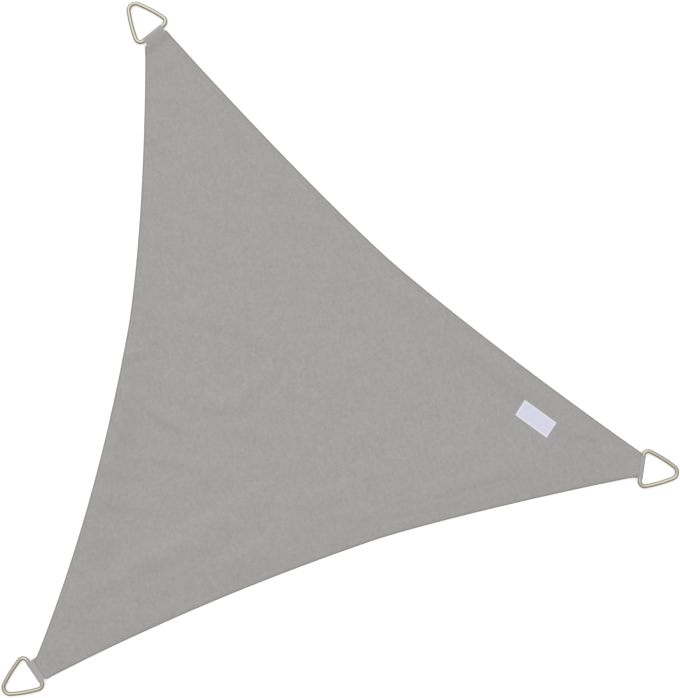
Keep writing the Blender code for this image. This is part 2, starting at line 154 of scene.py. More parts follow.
def runAlong(line):
    # distance from the first point to each point
    return np.concatenate([[0], np.cumsum(np.linalg.norm(np.diff(line, axis=0), axis=1))])


def cornerAxes(corner):
    # unit vectors along the corner's ring and to the left of it
    turn = math.radians(corner["heading"])
    return np.array([math.cos(turn), math.sin(turn)]), np.array([-math.sin(turn), math.cos(turn)])


def toSheet(corner, out, left):
    # the corner's middle, plus a distance along its ring, plus one to the left of that
    outAxis, leftAxis = cornerAxes(corner)
    middle = np.array([corner["x"], corner["y"]])
    return middle + np.multiply.outer(out, outAxis) + np.multiply.outer(left, leftAxis)


def toCorner(corner, xy):
    # the way back: how far along the corner's ring and to its left
    offset = xy - np.array([corner["x"], corner["y"]])
    outAxis, leftAxis = cornerAxes(corner)
    return offset @ outAxis, offset @ leftAxis


def cutEdge(corner):
    # both ends of the short edge behind the ring
    half = corner["endWidth"] / 2
    out = np.full(2, -corner["endGap"])
    return toSheet(corner, out, np.array([corner["endShift"] + half, corner["endShift"] - half]))


def sideRun(side, count):
    # the chord, plus an inward bow that falls off from its deepest point by a power of the distance
    start, end = cutEdge(corners[side["start"]])[1], cutEdge(corners[side["end"]])[0]
    deepest = side["deepest"]
    share = np.arange(count) / count
    first = share < deepest
    offDeepest = np.where(first, 1 - share / deepest, (share - deepest) / (1 - deepest))
    hollow = side["depth"] * (1 - offDeepest ** np.where(first, side["before"], side["after"]))
    return start + np.outer(share, end - start) + np.outer(hollow, turnedRight(unit(end - start)))


def cutRun(corner, count):
    # the short edge in even steps
    start, end = cutEdge(corner)
    return start + np.outer(np.arange(count) / count, end - start)


# The webbing straps that hold the rings, and how the cloth rises over them at the corners
web = dict(thickness=0.0012, width=0.068, shift=0.0025, eyeRadius=0.0064, seam=0.042, tongue=0.092)
web["eyeOutside"] = web["eyeRadius"] + web["thickness"]
web["barHeight"] = web["eyeOutside"]
web["plies"] = 2 * web["thickness"]
seamDrop = web["barHeight"] - web["plies"]
seamReach = math.hypot(seamDrop, web["seam"])
web["slope"] = math.atan2(seamDrop, web["seam"]) + math.asin(web["eyeOutside"] / seamReach)

lay = dict(gap=0.0003, rampMargin=0.006, rampLength=0.050)

cloth = dict(
    thickness=0.0016,
    hemWidth=0.014,
    cutHemLoss=0.9,  # how much of the hem's fold the short cut edges lack
    pressed=0.45,  # how much thinner they are at the rim
    pressedReach=0.008,
    halfSideCells=114,
    cutEdgeCells=100,
    bandWidth=0.020,  # of the border that is modelled with the hem's own profile
    mitreLength=0.030,
)

# Slack between the folds: long shallow swells, puckers drawn in by the hem's stitching, and short creases
swells = dict(count=14, longest=0.42, shortest=0.11, height=0.0011, seed=5)
puckers = dict(height=0.0007, rise=0.012, reach=0.055, lengths=(0.083, 0.047, 0.031))
creases = dict(count=70, height=(0.0005, 0.0014), steep=(0.018, 0.030), gentle=1.5, length=(0.06, 0.17),
               bend=0.3, seed=11)

# How much painted shade darkens the cloth, along the outline from the top corner clockwise, as shares of
# its run: at the edge itself, mostly the bottom's, and in a band a hand's breadth inside it
paintedShade = dict(
    edgePlaces=(0.0, 0.32, 0.36, 0.42, 0.45, 0.49, 0.53, 0.57, 0.62, 0.66, 0.68, 1.0),
    edgeDepths=(0.02, 0.04, 0.22, 0.20, 0.36, 0.26, 0.18, 0.24, 0.30, 0.14, 0.0, 0.0),
    edgeReach=(0.012, 0.050),
    bandPlaces=(0.0, 0.12, 0.17, 0.22, 0.31, 0.36, 0.45, 0.55, 0.63, 0.68, 0.71, 0.76, 0.80, 0.86, 1.0),
    bandDepths=(0.04, 0.02, 0.15, 0.18, 0.22, 0.14, 0.12, 0.12, 0.10, 0.10, 0.22, 0.22, 0.06, 0.0, 0.02),
    bandReach=(0.018, 0.050, 0.075, 0.150),
)


def nearestOnLine(xy, line):
    # distance to the closest piece of a polyline, that place as a share of the line, and the side: 1 is left
    start, run = line[:-1], np.diff(line, axis=0)
    offset = xy[:, None] - start
    share = np.clip(np.sum(offset * run, axis=2) / np.sum(run * run, axis=1), 0, 1)
    gap = np.linalg.norm(offset - share[..., None] * run, axis=2)
    piece = np.argmin(gap, axis=1)
    rows = np.arange(len(xy))
    along, away = run[piece], offset[rows, piece]
    side = np.sign(along[:, 0] * away[:, 1] - along[:, 1] * away[:, 0])
    return gap[rows, piece], (piece + share[rows, piece]) / len(run), side


def foldLift(fold, xy):
    # a bell (1 - d^2)^2 beside the parabola through the fold's three points, with a reach of its own on each
    # side of the crest, dying out at both ends; its place sways and its crest dips in sines of the run,
    # whose phases come from the fold's own start
    height, steep, gentle = fold[6:]
    t = np.linspace(0, 1, foldForm["steps"] + 1)[:, None]
    start, middle, end = np.reshape(fold[:6], (3, 2))
    line = start * (1 - t) * (1 - 2 * t) + middle * 4 * t * (1 - t) + end * t * (2 * t - 1)
    length = np.linalg.norm(end - start)
    waves = np.sin(t * length / foldForm["swayLength"] + fold[1] * 50) * foldForm["swayWaves"]
    sway = math.sin(fold[0] * 40) + waves
    line = line + turnedRight(unit(end - start)) * sway * steep * foldForm["sway"]
    lift = np.zeros(len(xy))
    wide = foldForm["lean"] * steep + gentle
    near = np.all((xy > line.min(axis=0) - wide) & (xy < line.max(axis=0) + wide), axis=1)
    if near.any():
        gap, share, side = nearestOnLine(xy[near], line)
        across = side * gap - foldForm["lean"] * steep
        bell = np.clip(1 - (across / np.where(across < 0, steep, gentle)) ** 2, 0, 1) ** 2
        dips = (1 + np.sin(share * length / foldForm["dipLength"] + fold[0] * 60)) / 2
        fading = (4 * share * (1 - share)) ** foldForm["fading"]
        lift[near] = height * bell * (1 - foldForm["dip"] * dips) * fading
    return lift


def cornerLift(corner, xy):
    # level over the sewn tongue, climbing to the bar, and easing down to the floor all around
    out, left = toCorner(corner, xy)
    climb = np.maximum(out + web["seam"], 0) * math.tan(web["slope"])
    pastEnd = -out - web["tongue"] - lay["rampMargin"]
    pastSide = np.abs(left - web["shift"]) - web["width"] / 2 - lay["rampMargin"]
    down = smoothStep(1 - pastEnd / lay["rampLength"]) * smoothStep(1 - pastSide / lay["rampLength"])
    return (web["plies"] + lay["gap"] + climb) * down


def slackCreases():
    # short shallow creases at seeded random places, in the manner of the big folds, crest towards the light
    dice = np.random.default_rng(creases["seed"])
    low, high = np.array(cadBox[0])[:2], np.array(cadBox[1])[:2]
    rows = []
    for _ in range(creases["count"]):
        middle = dice.uniform(low, high)
        turn = dice.uniform(0, math.pi)
        along = dice.uniform(*creases["length"]) / 2 * np.array([math.cos(turn), math.sin(turn)])
        if turnedRight(along) @ lightSide > 0:
            along = -along
        bend = turnedRight(along) * dice.uniform(-creases["bend"], creases["bend"])
        steep = dice.uniform(*creases["steep"])
        rows.append((*(middle - along), *(middle + bend), *(middle + along),
                     dice.uniform(*creases["height"]), steep, steep * creases["gentle"]))
    return rows


def swellLift(xy):
    # sines of seeded lengths and directions, raised so that none goes below the floor
    dice = np.random.default_rng(swells["seed"])
    lengths = np.geomspace(swells["longest"], swells["shortest"], swells["count"])
    turns, phases = dice.uniform(0, 2 * math.pi, (2, swells["count"]))
    waves = np.stack([np.cos(turns), np.sin(turns)]) * 2 * math.pi / lengths
    weights = lengths / lengths.sum()
    return swells["height"] * ((1 + np.sin(xy @ waves + phases)) / 2) @ weights


def puckerLift(gap, run):
    # waves along the border, strongest a little inside the hem and gone at their reach
    waves = sum(np.sin(2 * math.pi * run / length + i) for i, length in enumerate(puckers["lengths"]))
    across = np.clip(gap / puckers["rise"], 0, 1) * np.clip(1 - gap / puckers["reach"], 0, 1) ** 2
    return puckers["height"] * (waves / len(puckers["lengths"]) + 1) * across


def clothOutline():
    # side, cut edge, side, cut edge and so on, clockwise from the top corner
    runs = []
    for side in sides:
        runs.append(sideRun(side, 2 * cloth["halfSideCells"]))
        runs.append(cutRun(corners[side["end"]], cloth["cutEdgeCells"]))
    return np.vstack(runs)


outline = clothOutline()
closedOutline = np.vstack([outline, outline[:1]])
outlineRun = runAlong(closedOutline)
edgeStarts = np.cumsum([0] + [2 * cloth["halfSideCells"], cloth["cutEdgeCells"]] * len(sides))
coarseOutline = np.vstack([outline[::6], outline[:1]])
allFolds = folds + slackCreases()


def borderPlace(xy, batch=4000):
    # distance to the outline, and how far along it that nearest place is
    gap, share = np.zeros(len(xy)), np.zeros(len(xy))
    for start in range(0, len(xy), batch):
        some = slice(start, start + batch)
        gap[some], share[some], _ = nearestOnLine(xy[some], coarseOutline)
    return gap, share * outlineRun[-1]


def borderPaintedShade(gap, run):
    # painted shade: each depth times a smooth fade with the distance from the edge, the band's on both of its
    # sides
    share = run / outlineRun[-1]
    near, far = paintedShade["edgeReach"]
    fade = 1 - smoothStep((gap - near) / (far - near))
    atEdge = np.interp(share, paintedShade["edgePlaces"], paintedShade["edgeDepths"]) * fade
    a, b, c, d = paintedShade["bandReach"]
    inBand = np.interp(share, paintedShade["bandPlaces"], paintedShade["bandDepths"])
    return atEdge + inBand * smoothStep((gap - a) / (b - a)) * (1 - smoothStep((gap - c) / (d - c)))


def underside(xy):
    # every fold, swell, pucker and corner, added up
    lift = sum(foldLift(fold, xy) for fold in allFolds) + swellLift(xy) + puckerLift(*borderPlace(xy))
    return lift + sum(cornerLift(corner, xy) for corner in corners.values())


def gridQuads(rows, columns, closeColumns=False):
    # corner numbers of the cells of a grid of points, row by row
    index = np.arange(rows * columns).reshape(rows, columns)
    if closeColumns:
        index = np.hstack([index, index[:, :1]])
    return np.stack([index[:-1, :-1], index[:-1, 1:], index[1:, 1:], index[1:, :-1]], axis=-1).reshape(-1, 4)


def signedVolume(points, quads):
    # six times the volume between the faces and the origin, above zero where they point out
    a, b, c, d = (points[quads[:, i]] for i in range(4))
    return float((a * (np.cross(b, c) + np.cross(c, d))).sum())


def newObject(name, data):
    # an object in the scene
    made = bpy.data.objects.new(name, data)
    bpy.context.collection.objects.link(made)
    return made


def makePiece(name, points, quads, material, uv=None, attributes={}, weld=1e-5):
    # uv holds metres along and across, attributes one number a point; faces are turned to point out
    if signedVolume(points, quads) < 0:
        quads = quads[:, ::-1]
    mesh = bpy.data.meshes.new(name)
    mesh.from_pydata(points.tolist(), [], quads.tolist())
    if uv is not None:
        perCorner = uv[quads.ravel()].astype(np.float32).ravel()
        mesh.uv_layers.new(name="metres").data.foreach_set("uv", perCorner)
    for label, values in attributes.items():
        mesh.attributes.new(label, "FLOAT", "POINT").data.foreach_set("value", values.astype(np.float32))
    bm = bmesh.new()
    bm.from_mesh(mesh)
    bmesh.ops.remove_doubles(bm, verts=bm.verts[:], dist=weld)
    bm.to_mesh(mesh)
    bm.free()
    mesh.shade_smooth()
    mesh.materials.append(material)
    piece = newObject(name, mesh)
    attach(piece, "root")
    print(f"  {name}: {sum(len(p.vertices) - 2 for p in mesh.polygons)} triangles")
    return piece


def shaderNode(tree, kind, sockets={}, **settings):
    # a node, its settings, and its sockets set to a value or joined to another node's output
    made = tree.nodes.new(kind)
    for key, value in settings.items():
        setattr(made, key, value)
    for key, value in sockets.items():
        if isinstance(value, bpy.types.NodeSocket):
            tree.links.new(value, made.inputs[key])
        else:
            made.inputs[key].default_value = value
    return made


def newMaterial(name, flatColour, roughness, metallic=0.0):
    # the material, its nodes and its shader
    material = bpy.data.materials.new(name)
    material.use_nodes = True
    material.diffuse_color = (*flatColour, 1.0)
    shader = material.node_tree.nodes["Principled BSDF"]
    shader.inputs["Base Color"].default_value = (*flatColour, 1.0)
    shader.inputs["Roughness"].default_value = roughness
    shader.inputs["Metallic"].default_value = metallic
    return material, material.node_tree, shader


def objectPlace(tree):
    # metres in the sail's own space
    return shaderNode(tree, "ShaderNodeTexCoord").outputs["Object"]


def placeAxes(tree, where):
    return shaderNode(tree, "ShaderNodeSeparateXYZ", {0: where}).outputs


def calc(tree, operation, a, b=0.0, c=0.0):
    # one step of arithmetic
    return shaderNode(tree, "ShaderNodeMath", {0: a, 1: b, 2: c}, operation=operation).outputs[0]


def waveTurns(tree, length, pitch):
    # a length in metres as an angle, one full turn each pitch
    return calc(tree, "MULTIPLY", length, 2 * math.pi / pitch)


def noise(tree, where, scale, detail=2.0, roughness=0.5):
    # soft spots from 0 to 1, one over the scale wide
    sockets = {"Vector": where, "Scale": scale, "Detail": detail, "Roughness": roughness}
    return shaderNode(tree, "ShaderNodeTexNoise", sockets).outputs["Fac"]


def relief(tree, height, strength, depth, over=None):
    # a bump, on top of another where that is given
    sockets = {"Strength": strength, "Distance": depth, "Height": height}
    if over is not None:
        sockets["Normal"] = over
    return shaderNode(tree, "ShaderNodeBump", sockets).outputs[0]


def mapRange(tree, value, **limits):
    # limits are written fromMin, fromMax, toMin and toMax
    names = dict(fromMin="From Min", fromMax="From Max", toMin="To Min", toMax="To Max")
    sockets = {"Value": value, **{names[key]: limit for key, limit in limits.items()}}
    return shaderNode(tree, "ShaderNodeMapRange", sockets).outputs[0]


def mixColour(tree, share, a, b):
    # two colours, plain or from other nodes, mixed by a share
    made = shaderNode(tree, "ShaderNodeMix", data_type="RGBA")
    for key, value in (("Factor", share), ("A", a), ("B", b)):
        socket = next(s for s in made.inputs if s.name == key and s.enabled)
        if isinstance(value, bpy.types.NodeSocket):
            tree.links.new(value, socket)
        else:
            socket.default_value = (*value, 1.0) if isinstance(value, tuple) else value
    return next(s for s in made.outputs if s.enabled)


knit = dict(
    ribPitch=0.0034,  # from one chain of loops to the next
    loopPitch=0.0026,  # along a chain
    tapeSlant=1.6,
    ribDepth=0.30,
    loopDepth=0.20,
    flat=(0.385, 0.3807, 0.3707),
    light=(0.436, 0.4300, 0.4188),
    dark=(0.309, 0.3048, 0.2970),
    edgeDarkAndPaintedShade=(0.262, 0.259, 0.252),
    edgeShare=0.62,  # of that colour in the border's fold: its double layer, and painted shade on its rolled edge
    edgeWidth=0.0062,
    relief=0.0003,
    grainRelief=0.0010,
)


def knitHeight(tree, where):
    # chains of loops along y, with slanted laid-in tapes between them
    axes = placeAxes(tree, where)
    acrossTurns = waveTurns(tree, axes["X"], knit["ribPitch"])
    alongTurns = waveTurns(tree, axes["Y"], knit["loopPitch"])
    rib = calc(tree, "COSINE", acrossTurns)
    tape = calc(tree, "MULTIPLY", calc(tree, "SINE", acrossTurns), knit["tapeSlant"])
    loop = calc(tree, "SINE", calc(tree, "ADD", alongTurns, tape))
    height = calc(tree, "MULTIPLY_ADD", rib, knit["ribDepth"], 0.5)
    return calc(tree, "MULTIPLY_ADD", loop, knit["loopDepth"], height)


def weightedTone(tree, layers):
    # a half, plus each layer's distance from its own half times its weight
    tone = 0.5
    for layer, weight in layers:
        tone = calc(tree, "MULTIPLY_ADD", calc(tree, "SUBTRACT", layer, 0.5), weight, tone)
    return tone


def clothMaterial():
    # knit, uneven yarns along and across it, a mottled grain, broad soft clouds, and painted shade along the
    # border
    material, tree, shader = newMaterial("knittedShadeCloth", knit["flat"], 0.9)
    where = objectPlace(tree)
    alongRibs, acrossRibs = (
        shaderNode(tree, "ShaderNodeMapping", {"Vector": where, "Scale": stretch}).outputs[0]
        for stretch in ((1.0, 0.22, 1.0), (0.3, 1.0, 1.0)))
    height = knitHeight(tree, where)
    grain = noise(tree, where, 92.0, 3.0, 0.62)
    clouds = noise(tree, where, 14.0, 3.0, 0.55)
    tone = weightedTone(tree, [
        (height, 0.30),
        (noise(tree, alongRibs, 210.0), 0.55),
        (noise(tree, acrossRibs, 170.0), 0.40),
        (grain, 0.62),
        (clouds, 0.20),
    ])
    colour = mixColour(tree, tone, knit["dark"], knit["light"])
    # the border's fold darker: its double layer, and painted shade on its rolled edge
    gap = shaderNode(tree, "ShaderNodeAttribute", attribute_name="edgeGap").outputs["Fac"]
    edge = mapRange(tree, gap, fromMin=knit["edgeWidth"] * 0.6, fromMax=knit["edgeWidth"],
                    toMin=knit["edgeShare"], toMax=0.0)
    # painted shade along the border, broken into patches, mixing the colour towards the knit's dark
    paintedShadeDepth = shaderNode(tree, "ShaderNodeAttribute", attribute_name="paintedShade").outputs["Fac"]
    paintedShadePatches = calc(tree, "MULTIPLY_ADD", noise(tree, where, 16.0, 2.0, 0.6), 2.0, -0.2)
    colour = mixColour(tree, calc(tree, "MULTIPLY", paintedShadeDepth, paintedShadePatches), colour, knit["dark"])
    tree.links.new(mixColour(tree, edge, colour, knit["edgeDarkAndPaintedShade"]), shader.inputs["Base Color"])
    coarse = relief(tree, height, 0.35, knit["relief"])
    tree.links.new(relief(tree, grain, 0.30, knit["grainRelief"], over=coarse), shader.inputs["Normal"])
    shader.inputs["Specular IOR Level"].default_value = 0.25
    shader.inputs["Sheen Weight"].default_value = 0.08
    return material


# Hem in section, from the face's edge over the outer fold to the back's edge: distance in, height.
# Both faces have a groove where the stitches pull in.
hemSection = [
    (0.0200, 0.0016), (0.0182, 0.00162), (0.0168, 0.00172), (0.0154, 0.0019), (0.0140, 0.00208),
    (0.0131, 0.00218), (0.0122, 0.0021), (0.0113, 0.00222), (0.0085, 0.0023), (0.0050, 0.0023),
    (0.0028, 0.0022), (0.0012, 0.0019), (0.0003, 0.0014), (0.0000, 0.0009), (0.0004, 0.0004),
    (0.0014, 0.0001), (0.0040, 0.0000), (0.0095, 0.0000), (0.0114, 0.0001), (0.0122, 0.0004),
    (0.0130, 0.0001), (0.0137, 0.0000), (0.0140, 0.0003), (0.0142, 0.0008), (0.0152, 0.0009),
    (0.0164, 0.0005), (0.0174, 0.0001), (0.0200, 0.0000),
]


def inwardVectors():
    # each point's inward normal; near the six corners it slides along the edge to meet at the mitre, by the
    # cotangent of half the corner's inner angle
    edges = list(zip(edgeStarts[:-1], edgeStarts[1:]))
    tangents = [unit(np.gradient(closedOutline[start:end + 1], axis=0)) for start, end in edges]
    vectors = np.zeros_like(outline)
    for k, (start, end) in enumerate(edges):
        tangent = tangents[k]
        before, after = tangents[k - 1][-1], tangents[(k + 1) % len(tangents)][0]
        slideIn = np.tan(np.arccos(np.clip(before @ tangent[0], -1, 1)) / 2)
        slideOut = np.tan(np.arccos(np.clip(after @ tangent[-1], -1, 1)) / 2)
        run = runAlong(closedOutline[start:end + 1])
        atStart = np.clip(1 - run / cloth["mitreLength"], 0, 1) * slideIn
        atEnd = np.clip(1 - (run[-1] - run) / cloth["mitreLength"], 0, 1) * slideOut
        vectors[start:end] = (turnedRight(tangent) + tangent * (atStart - atEnd)[:, None])[:-1]
    return vectors


def hemShare():
    # how much of the hem's turned-under layer each point has: all along the sides, little on the cut edges
    share = np.ones(len(outline))
    for start, end in zip(edgeStarts[1::2], edgeStarts[2::2]):
        run = outlineRun[start:end]
        fromEnds = np.minimum(run - run[0], outlineRun[end] - run)
        share[start:end] = 1 - cloth["cutHemLoss"] * smoothStep(fromEnds / cloth["hemWidth"])
    return share


def coonsPatch(bottom, top, left, right):
    # the sum of both ways of blending opposite edges, less the blend of the four corners
    u = np.linspace(0, 1, len(bottom))[None, :, None]
    v = np.linspace(0, 1, len(left))[:, None, None]
    edges = (1 - v) * bottom + v * top + (1 - u) * left[:, None] + u * right[:, None]
    ends = (1 - v) * ((1 - u) * bottom[0] + u * bottom[-1]) + v * ((1 - u) * top[0] + u * top[-1])
    return edges - ends


def fieldPatches(inner):
    # one four-sided patch for each corner: its cut edge, half of both sides, and the way to the middle
    half, cut = cloth["halfSideCells"], cloth["cutEdgeCells"]
    total = len(inner)
    mids = inner[[half + start for start in edgeStarts[:-1:2]]]
    centre = mids.mean(axis=0)
    share = np.linspace(0, 1, cut // 2 + 1)[:, None]
    patches = []
    for k, cutStart in enumerate(edgeStarts[1::2]):
        bottom = inner[np.arange(cutStart, cutStart + cut + 1) % total]
        left = inner[np.arange(cutStart, cutStart - half - 1, -1) % total]
        right = inner[np.arange(cutStart + cut, cutStart + cut + half + 1) % total]
        across = lerp(mids[k], centre, share), lerp(centre, mids[(k + 1) % len(mids)], share)[1:]
        patches.append(coonsPatch(bottom, np.vstack(across), left, right))
    return patches


inward = inwardVectors()


def makeCloth(material):
    # the hem's section carried around the outline as a band, closed by a face and a back of three patches
    section, hem = np.array(hemSection), hemShare()
    bandXy = (outline + inward * section[:, 0, None, None]).reshape(-1, 2)
    plain = np.minimum(section[:, 1], cloth["thickness"])
    rim = 1 - smoothStep(section[:, 0] / cloth["pressedReach"])
    pressed = 1 - cloth["pressed"] * np.outer(rim, 1 - hem)
    bandHeight = ((plain[:, None] + (section[:, 1] - plain)[:, None] * hem) * pressed).ravel()
    plainEdge = np.outer(1 - section[:, 0] / cloth["bandWidth"], 1 - hem) * knit["edgeWidth"] * 2
    bandGap = (section[:, :1] + plainEdge).ravel()
    patches = fieldPatches(outline + inward * cloth["bandWidth"])
    rows, columns = patches[0].shape[:2]
    fieldXy = np.vstack([patch.reshape(-1, 2) for patch in patches])
    lift = underside(np.vstack([bandXy, fieldXy]))
    bandLift, fieldLift = lift[:len(bandXy)], lift[len(bandXy):]
    z = np.concatenate([bandLift + bandHeight, fieldLift + cloth["thickness"], fieldLift])
    points = np.column_stack([np.vstack([bandXy, fieldXy, fieldXy]), z])
    fieldGap, fieldRun = borderPlace(fieldXy)
    gap = np.concatenate([bandGap, np.tile(fieldGap, 2)])
    # painted shade along the border, kept on each point for the cloth's material
    bandPaintedShade = borderPaintedShade(bandGap, np.tile(outlineRun[:-1], len(section)))
    paintedShadeDepth = np.concatenate([bandPaintedShade, np.tile(borderPaintedShade(fieldGap, fieldRun), 2)])
    cells, start = gridQuads(rows, columns), len(bandXy)
    quads = [gridQuads(len(section), len(outline), closeColumns=True)]
    for k in range(2 * len(patches)):
        faceOn = cells[:, ::-1] if k < len(patches) else cells
        quads.append(faceOn + start + k * rows * columns)
    return makePiece("sailCloth", points, np.vstack(quads), material,
                     attributes={"edgeGap": gap, "paintedShade": paintedShadeDepth})


sailCloth = makeCloth(clothMaterial())
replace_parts(sailCloth, "sail_cloth")
print("cloth done")

steel = dict(
    flat=(0.54, 0.50, 0.417),
    dark=(0.46, 0.420, 0.337),
    light=(0.58, 0.540, 0.448),
    roughness=(0.24, 0.40),
    markDepth=0.0002,
)
ring = dict(
    barRadius=0.006,
    halfWidth=0.0606,
    height=0.137,
    cornerRadius=0.015,
    tipRadius=0.0205,
    bulge=0.002,  # of the two legs
    barSides=32,
    turnSteps=26,
    legSteps=30,
)


def steelMaterial():
    # bright drawn bar: a warm cast, cloudy polish and faint handling marks
    material, tree, shader = newMaterial("satinSteel", steel["flat"], 0.32, 1.0)
    where = objectPlace(tree)
    cloudy = noise(tree, where, 60.0, 4.0, 0.6)
    marks = noise(tree, where, 900.0, 2.0, 0.6)
    tree.links.new(mixColour(tree, cloudy, steel["dark"], steel["light"]), shader.inputs["Base Color"])
    smooth, rough = steel["roughness"]
    tree.links.new(mapRange(tree, cloudy, toMin=smooth, toMax=rough), shader.inputs["Roughness"])
    tree.links.new(relief(tree, marks, 0.12, steel["markDepth"]), shader.inputs["Normal"])
    return material


def arc(centre, radius, start, end, steps):
    # points on a circle from one angle to another
    turns = np.linspace(start, end, steps + 1)
    return np.array(centre) + radius * np.stack([np.cos(turns), np.sin(turns)], axis=1)


def ringLeg(start, end, bulge):
    # a straight run bowed outwards by a parabola, without its ends
    share = np.arange(1, ring["legSteps"]) / ring["legSteps"]
    bow = bulge * 4 * share * (1 - share)
    return start + np.outer(share, end - start) + np.outer(bow, turnedRight(unit(end - start)))


def ringLine():
    # the bar's closed centre line: straight bar on x = 0, two arcs, two legs and the narrow end's arc
    lean = math.atan2(ring["halfWidth"], ring["height"])
    cut = ring["cornerRadius"] / math.tan(math.pi / 4 - lean / 2)
    cornerCentre = (ring["cornerRadius"], cut - ring["halfWidth"])
    tipCentre = (ring["height"] - ring["tipRadius"] / math.sin(lean), 0)
    right = arc(cornerCentre, ring["cornerRadius"], math.pi, 1.5 * math.pi + lean, ring["turnSteps"])
    tip = arc(tipCentre, ring["tipRadius"], lean - math.pi / 2, math.pi / 2 - lean, ring["turnSteps"])
    left = right[::-1] * (1, -1)
    legs = ringLeg(right[-1], tip[0], ring["bulge"]), ringLeg(tip[-1], left[0], ring["bulge"])
    return np.vstack([right, legs[0], tip, legs[1], left, ringLeg(left[-1], right[0], 0)])


def makeRing(name, corner, material):
    # a round bar: at each point of the line a circle stands across it; the ring leans to rest on its tip
    line = ringLine()
    back, ahead = unit(line - np.roll(line, 1, axis=0)), unit(np.roll(line, -1, axis=0) - line)
    outward = unit(turnedRight(back) + turnedRight(ahead))
    closed = np.vstack([line, line[:1]])
    outward = np.vstack([outward, outward[:1]])
    turns = np.linspace(0, 2 * math.pi, ring["barSides"] + 1)
    wide, high = ring["barRadius"] * np.cos(turns), ring["barRadius"] * np.sin(turns)
    x = closed[:, :1] + outward[:, :1] * wide
    y = closed[:, 1:] + outward[:, 1:] * wide
    z = np.broadcast_to(high, x.shape)
    tilt = math.asin((web["barHeight"] - ring["barRadius"]) / line[:, 0].max())
    leantX = x * math.cos(tilt) + z * math.sin(tilt)
    leantZ = z * math.cos(tilt) - x * math.sin(tilt)
    points = np.dstack([toSheet(corner, leantX, y), leantZ + web["barHeight"]]).reshape(-1, 3)
    along = np.broadcast_to(runAlong(closed)[:, None], x.shape)
    around = np.broadcast_to(turns * ring["barRadius"], x.shape)
    uv = np.dstack([along, around]).reshape(-1, 2)
    return makePiece(name, points, gridQuads(*x.shape), material, uv=uv)


ringMaterial = steelMaterial()
for place, corner in corners.items():
    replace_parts(makeRing("ring" + place.capitalize(), corner, ringMaterial), "ring_" + place)
print("rings done")

weave = dict(
    ribPitch=0.0021,
    yarnPitch=0.0026,
    twillPitch=0.0042,
    ribDepth=0.28,
    yarnDepth=0.22,
    relief=0.0004,
    flat=(0.403, 0.400, 0.391),
    dark=(0.361, 0.359, 0.351),
    light=(0.445, 0.442, 0.432),
)
loop = dict(
    thickness=0.00112,
    alongCells=130,
    acrossCells=44,
    edgeWander=0.0003,
    wanderLengths=(0.047, 0.019),
)


def webbingMaterial():
    # ribs across the strap, each broken into a twill of yarns; uv holds metres along and across it
    material, tree, shader = newMaterial("webbingTape", weave["flat"], 0.85)
    axes = placeAxes(tree, shaderNode(tree, "ShaderNodeUVMap", uv_map="metres").outputs[0])
    rib = calc(tree, "SINE", waveTurns(tree, axes["X"], weave["ribPitch"]))
    slant = calc(tree, "MULTIPLY_ADD", axes["Y"], 2 * math.pi / weave["yarnPitch"],
                 waveTurns(tree, axes["X"], weave["twillPitch"]))
    height = calc(tree, "MULTIPLY_ADD", calc(tree, "SINE", slant), weave["yarnDepth"],
                  calc(tree, "MULTIPLY_ADD", rib, weave["ribDepth"], 0.5))
    tree.links.new(mixColour(tree, height, weave["dark"], weave["light"]), shader.inputs["Base Color"])
    tree.links.new(relief(tree, height, 0.6, weave["relief"]), shader.inputs["Normal"])
    return material


def roundedRun(length, thickness, cells):
    # places along a strip and the share of its half thickness there, a quarter circle at each end
    turns = np.linspace(0, math.pi / 2, 5)
    edge = thickness / 2 * (1 - np.cos(turns))
    middle = np.linspace(edge[-1], length - edge[-1], cells + 1)[1:-1]
    places = np.concatenate([edge, middle, length - edge[::-1]])
    return places, np.concatenate([np.sin(turns), np.ones(len(middle)), np.sin(turns[::-1])])


def stripGrid(length, width, thickness, alongCells, acrossCells):
    # along, across and height of a flat strip's upper side, falling round to nothing at all four edges
    along, ends = roundedRun(length, thickness, alongCells)
    across, edges = roundedRun(width, thickness, acrossCells)
    height = thickness / 2 * np.minimum.outer(ends, edges)
    return np.broadcast_to(along[:, None], height.shape), np.broadcast_to(across, height.shape), height


def bothSides(cells, pointCount):
    # the upper side's cells, and the same turned over for the lower side
    return np.vstack([cells, cells[:, ::-1] + pointCount])


def loopPath():
    # the folded strap from its edge: the lower ply, the eye round the bar, down to the seam, the upper ply
    half = web["thickness"] / 2
    level = web["plies"] - half
    bottom = np.column_stack([np.linspace(-web["tongue"], 0, 60), np.full(60, half)])
    eye = arc((0, web["barHeight"]), web["eyeRadius"] + half, -math.pi / 2, math.pi / 2 + web["slope"], 48)
    down = lerp(eye[-1], np.array([-web["seam"], level]), np.linspace(0, 1, 24)[:, None])
    top = np.column_stack([np.linspace(-web["seam"], -web["tongue"], 30), np.full(30, level)])
    return np.vstack([bottom[:-1], eye, down[1:], top[1:]])


